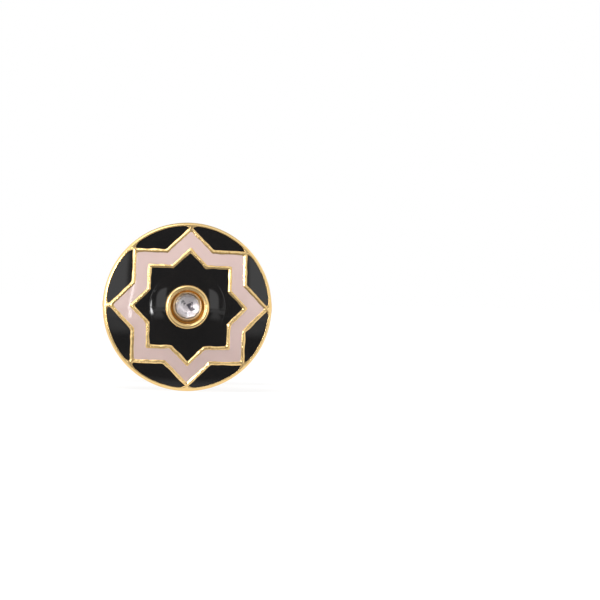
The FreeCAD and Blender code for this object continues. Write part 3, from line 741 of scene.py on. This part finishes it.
half = [Vector((radius, 0, reach)) * MM + PIVOT for radius, reach in PIN_PROFILE]
other = [Vector((point.x, point.y, -point.z)) for point in reversed(half[:-1])]
bm = spin_profile(half + other, PIVOT, (0, 0, 1))
for vert in bm.verts:
    if abs(vert.co.z) < PIN_FLAT_END:
        out = vert.co - PIVOT
        out.x = max(-PIN_FLAT, min(PIN_FLAT, out.x))
        out.y = max(-PIN_FLAT, min(PIN_FLAT, out.y))
        vert.co = PIVOT + out
hinge_pin = add_piece("hinge_pin", bm, polished_gold)
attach(hinge_pin, "face")
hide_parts("pivot_pin")


# Domed cap: a turned brass cap, gold plated, pressed into one end of the tube. A narrow bevelled collar
# stands between the tube and the slimmer dome.

# The cap's section: reach along the bar and radius in millimetres.
CAP_PROFILE = ((9.75, 0.0), (9.735, 0.3), (9.68, 0.62), (9.57, 0.95), (9.41, 1.25), (9.2, 1.5), (8.95, 1.7),
               (8.68, 1.83), (8.44, 1.9), (8.26, 1.925), (8.225, 1.935), (8.2, 1.965), (8.18, 1.99),
               (8.0, 2.085), (7.97, 2.095), (7.953, 2.085), (7.95, 2.06), (7.95, 1.66), (6.75, 1.66),
               (6.75, 0.0))

bm = spin_profile([Vector((reach, radius, 0)) * MM + PIVOT for reach, radius in CAP_PROFILE],
                  PIVOT, (1, 0, 0))
domed_cap = add_piece("domed_cap", bm, polished_gold)
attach(domed_cap, "toggle")
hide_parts("toggle_end_cap")


# Leaf spring: a strip of hard rolled steel, bowed inside the bar so that it presses on the pin's flats.
# It is hidden in the tube, and only snaps the bar into place.

# Rolled spring steel: grey, with fine lines along the strip, drawn 0.1 mm apart.
spring_steel, tree, steel_shader, place = new_material("rolled_spring_steel")
lines = add_node(tree, "ShaderNodeMapping", {"Vector": place, "Scale": (0.03, 1.0, 1.0)})
grain = add_node(tree, "ShaderNodeTexNoise", {
    "Vector": lines.outputs["Vector"], "Scale": 1 / (0.1 * MM), "Detail": 2.0})
tone = add_node(tree, "ShaderNodeMix", {
    0: grain.outputs["Fac"], 6: srgb("#C3C4C6"), 7: srgb("#A2A4A8")}, data_type="RGBA")
tree.links.new(tone.outputs[2], steel_shader.inputs["Base Color"])
steel_shader.inputs["Metallic"].default_value = 1.0
steel_shader.inputs["Roughness"].default_value = 0.3
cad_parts["toggle_leaf_spring"].material_slots[0].material = spring_steel


# Studio: a plain pale floor under the rim of the face, and a white surround that the metal reflects.
# Dark flags and bright reflectors stand round the work, and soft lamps light its paints.

FLOOR_SIZE = 3.0
PAPER_GLOW = 1.07
FLOOR_GLOW = 0.85
FLOOR_NEAR = 20 * MM
FLOOR_FAR = 140 * MM
SURROUND_LIGHT = 0.16


def add_stage(name, bm, material):
    """Put a mesh in the scene that isn't part of the object."""
    mesh = bpy.data.meshes.new(name)
    bm.to_mesh(mesh)
    bm.free()
    mesh.materials.append(material)
    thing = bpy.data.objects.new(name, mesh)
    bpy.context.collection.objects.link(thing)
    return thing


def seen_directly(tree):
    """1 for rays that show the background: from the camera, off gloss or through glass."""
    path = add_node(tree, "ShaderNodeLightPath").outputs
    direct = add_node(tree, "ShaderNodeMath", {
        0: path["Is Camera Ray"], 1: path["Is Glossy Ray"]}, operation="MAXIMUM")
    through = add_node(tree, "ShaderNodeMath", {
        0: direct.outputs[0], 1: path["Is Transmission Ray"]}, operation="MAXIMUM")
    return through.outputs[0]


# Matt pale paper, which keeps the soft shadow of the object and runs out into the white surround.
paper = bpy.data.materials.new("pale_paper")
paper.use_nodes = True
tree = paper.node_tree
tree.nodes.clear()
matt = add_node(tree, "ShaderNodeBsdfDiffuse", {"Color": srgb("#D8D8D8")})
glow = add_node(tree, "ShaderNodeEmission", {"Color": srgb("#FFFFFF"), "Strength": PAPER_GLOW})
spot = add_node(tree, "ShaderNodeTexCoord").outputs["Object"]
away = add_node(tree, "ShaderNodeVectorMath", {0: spot}, operation="LENGTH")
fade = add_node(tree, "ShaderNodeMapRange", {
    "Value": away.outputs["Value"], "From Min": FLOOR_NEAR, "From Max": FLOOR_FAR, "To Min": FLOOR_GLOW},
    interpolation_type="SMOOTHSTEP")
share = add_node(tree, "ShaderNodeMath", {
    0: seen_directly(tree), 1: fade.outputs["Result"]}, operation="MULTIPLY")
mixed = add_node(tree, "ShaderNodeMixShader", {
    0: share.outputs[0], 1: matt.outputs["BSDF"], 2: glow.outputs["Emission"]})
add_node(tree, "ShaderNodeOutputMaterial", {"Surface": mixed.outputs[0]})

bm = bmesh.new()
bmesh.ops.create_grid(bm, size=FLOOR_SIZE / 2)
bmesh.ops.translate(bm, vec=(0, 0, cad_box[0].z), verts=bm.verts)
add_stage("floor", bm, paper)

world = bpy.data.worlds.new("white_surround")
bpy.context.scene.world = world
world.use_nodes = True
tree = world.node_tree
tree.nodes.clear()
ambient = add_node(tree, "ShaderNodeBackground", {"Color": srgb("#FFFFFF"), "Strength": SURROUND_LIGHT})
white = add_node(tree, "ShaderNodeBackground", {"Color": srgb("#FFFFFF"), "Strength": 1.0})
mixed = add_node(tree, "ShaderNodeMixShader", {
    0: seen_directly(tree), 1: ambient.outputs[0], 2: white.outputs[0]})
add_node(tree, "ShaderNodeOutputWorld", {"Surface": mixed.outputs[0]})

# Cards that only reflections see, as flags and reflectors stand round small glossy work. Each is soft-edged:
# name, azimuth and elevation in degrees, distance, width and height in millimetres, lean in degrees,
# brightness, and the share of it that is solid.
CARDS = (
    ("dark_front", 0, 8, 420, 545, 466, 0, 0.34, 0.92),
    ("dark_lens", 0, 4, 250, 187, 244, 0, 0.34, 0.9),
    ("soft_panel", 0, 1.5, 300, 333, 183, 0, 1.9, 0.92),
    ("strip_left", -18.25, 2.6, 240, 3.8, 46, 9.5, 13.0, 0.75),
    ("strip_side", -34.0, 6.3, 460, 32, 190, 0, 30.0, 0.85),
    ("strip_side_high", -31.2, 15.5, 460, 22, 72, 0, 30.0, 0.6),
    ("bright_left", -60, 14, 560, 480, 420, 0, 2.5, 0.7),
    ("bright_high", -50, 58, 450, 380, 260, 0, 3.0, 0.5),
    ("grey_right", 70, 25, 320, 260, 300, 0, 0.85, 0.4),
    ("grey_high", 0, 46, 420, 230, 90, 0, 0.85, 0.2),
    ("back_slit", 180, 50, 300, 420, 80, 0, 0.05, 0.1),
    ("back_grey", 180, 78, 500, 1000, 700, 0, 0.76, 0.6),
    ("back_low", 180, 18, 620, 1200, 420, 0, 0.78, 0.6),
    ("back_left", 128, 30, 450, 300, 300, 0, 1.35, 0.2),
    ("back_right", -128, 30, 450, 300, 300, 0, 1.35, 0.2),
)
# Cards that lie on the floor: name, middle and height in millimetres, turn in degrees, width and depth in
# millimetres, brightness and solid share.
FLOOR_CARDS = (
    ("grey_table_front", (0, -26, 0.05), 0, 60, 50, 0.6, 0.5),
    ("dark_table_near", (0, -27, 0.1), 0, 20, 48, 0.34, 0.9),
    ("dark_table", (0, -84, 0.15), 0, 92, 152, 0.34, 0.85),
    ("dark_table_far", (0, -285, 0.2), 0, 300, 300, 0.34, 0.85),
    ("panel_table_left", (-33, -66, 0.25), -25, 12, 80, 1.1, 0.3),
    ("panel_table_right", (33, -66, 0.25), 25, 12, 80, 1.1, 0.3),
    ("panel_floor_left", (-85, -180, 0.3), -25, 30, 210, 1.3, 0.8),
    ("panel_floor_right", (85, -180, 0.3), 25, 30, 210, 1.3, 0.8),
    ("strip_table", (-77.5, -232.4, 0.35), -17.1, 3.6, 310, 13.0, 0.85),
    ("strip_side_table", (-137, -211.6, 0.4), -32.9, 5, 400, 30.0, 0.8),
    ("grey_table", (0, 170, 0.1), 0, 420, 290, 0.78, 0.7),
)


CARD_HALF = 0.5


def add_card(name, brightness, solid):
    """A soft-edged card with round corners, one unit across, that shows in reflections and glass alone."""
    paint = bpy.data.materials.new(name)
    paint.use_nodes = True
    tree = paint.node_tree
    tree.nodes.clear()
    spot = add_node(tree, "ShaderNodeTexCoord").outputs["Object"]
    squared = add_node(tree, "ShaderNodeVectorMath", {0: spot, 1: spot}, operation="MULTIPLY")
    reach = add_node(tree, "ShaderNodeVectorMath", {0: squared.outputs[0]}, operation="LENGTH")
    clear = add_node(tree, "ShaderNodeMapRange", {
        "Value": reach.outputs["Value"], "From Min": (solid * CARD_HALF) ** 2, "From Max": CARD_HALF ** 2},
        interpolation_type="SMOOTHSTEP")
    glow = add_node(tree, "ShaderNodeEmission", {"Color": srgb("#FFFFFF"), "Strength": brightness})
    nothing = add_node(tree, "ShaderNodeBsdfTransparent")
    mixed = add_node(tree, "ShaderNodeMixShader", {
        0: clear.outputs["Result"], 1: glow.outputs[0], 2: nothing.outputs[0]})
    add_node(tree, "ShaderNodeOutputMaterial", {"Surface": mixed.outputs[0]})
    bm = bmesh.new()
    bmesh.ops.create_grid(bm, size=CARD_HALF)
    card = add_stage(name, bm, paint)
    card.visible_camera = False
    card.visible_diffuse = False
    card.visible_shadow = False
    card.rotation_mode = "QUATERNION"
    return card


for name, azimuth, elevation, distance, width, height, lean, brightness, solid in CARDS:
    card = add_card(name, brightness, solid)
    turn = math.radians(azimuth)
    rise = math.radians(elevation)
    toward = Vector((math.sin(turn) * math.cos(rise), -math.cos(turn) * math.cos(rise), math.sin(rise)))
    card.location = toward * distance * MM
    leaning = Matrix.Rotation(math.radians(lean), 3, "Z").to_quaternion()
    card.rotation_quaternion = (-toward).to_track_quat("Z", "Y") @ leaning
    card.scale = Vector((width, height, 1)) * MM
for name, spot, turn, width, depth, brightness, solid in FLOOR_CARDS:
    card = add_card(name, brightness, solid)
    card.location = Vector(spot) * MM + Vector((0, 0, cad_box[0].z))
    card.rotation_quaternion = Matrix.Rotation(math.radians(turn), 3, "Z").to_quaternion()
    card.scale = Vector((width, depth, 1)) * MM

# Soft lamps that light the paints: name, place, width and height in millimetres, and power in watts.
LAMPS = (
    ("key_left", (-110, -230, 520), (340, 340), 4.15),
    ("fill_right", (420, -240, 220), (340, 340), 0.22),
    ("back_top", (60, 420, 420), (420, 300), 0.6),
)
for name, spot, sides, power in LAMPS:
    lamp = bpy.data.lights.new(name, "AREA")
    lamp.shape = "RECTANGLE"
    lamp.size = sides[0] * MM
    lamp.size_y = sides[1] * MM
    lamp.energy = power
    holder = bpy.data.objects.new(name, lamp)
    holder.location = Vector(spot) * MM
    holder.rotation_mode = "QUATERNION"
    holder.rotation_quaternion = (-holder.location).to_track_quat("-Z", "Y")
    holder.visible_glossy = False
    bpy.context.collection.objects.link(holder)


# Camera: square on the face, which lies left of the middle of the photograph's frame.
# It is rolled a little, as the face in the photograph is.

FRAME_PIXELS = 600
FACE_PIXELS = (187.45, 306.93)
PIXELS_PER_MM = 9.36
CAMERA_DISTANCE = 172.0 * MM
CAMERA_RISE = math.radians(0.6)
CAMERA_ROLL = math.radians(1.7)
SENSOR_WIDTH = 36.0
CLIP_START = 1 * MM
CLIP_END = 10.0

focal_pixels = PIXELS_PER_MM * CAMERA_DISTANCE / MM
camera_data = bpy.data.cameras.new("camera")
camera_data.sensor_width = SENSOR_WIDTH
camera_data.lens = focal_pixels / FRAME_PIXELS * SENSOR_WIDTH
camera_data.clip_start = CLIP_START
camera_data.clip_end = CLIP_END
camera = bpy.data.objects.new("camera", camera_data)
bpy.context.collection.objects.link(camera)
bpy.context.scene.camera = camera
face_middle = Vector((0, dome(FACE_RADIUS), 0))
outward = Vector((0, -math.cos(CAMERA_RISE), math.sin(CAMERA_RISE)))
camera.location = face_middle + outward * CAMERA_DISTANCE
middle = FRAME_PIXELS / 2
to_face = Vector((FACE_PIXELS[0] - middle, middle - FACE_PIXELS[1], -focal_pixels))
camera.rotation_mode = "QUATERNION"
square_on = (-outward).to_track_quat("-Z", "Y")
roll = Matrix.Rotation(CAMERA_ROLL, 3, "Z").to_quaternion()
camera.rotation_quaternion = square_on @ roll @ to_face.rotation_difference(Vector((0, 0, -1)))

bpy.context.scene.view_settings.view_transform = "Standard"
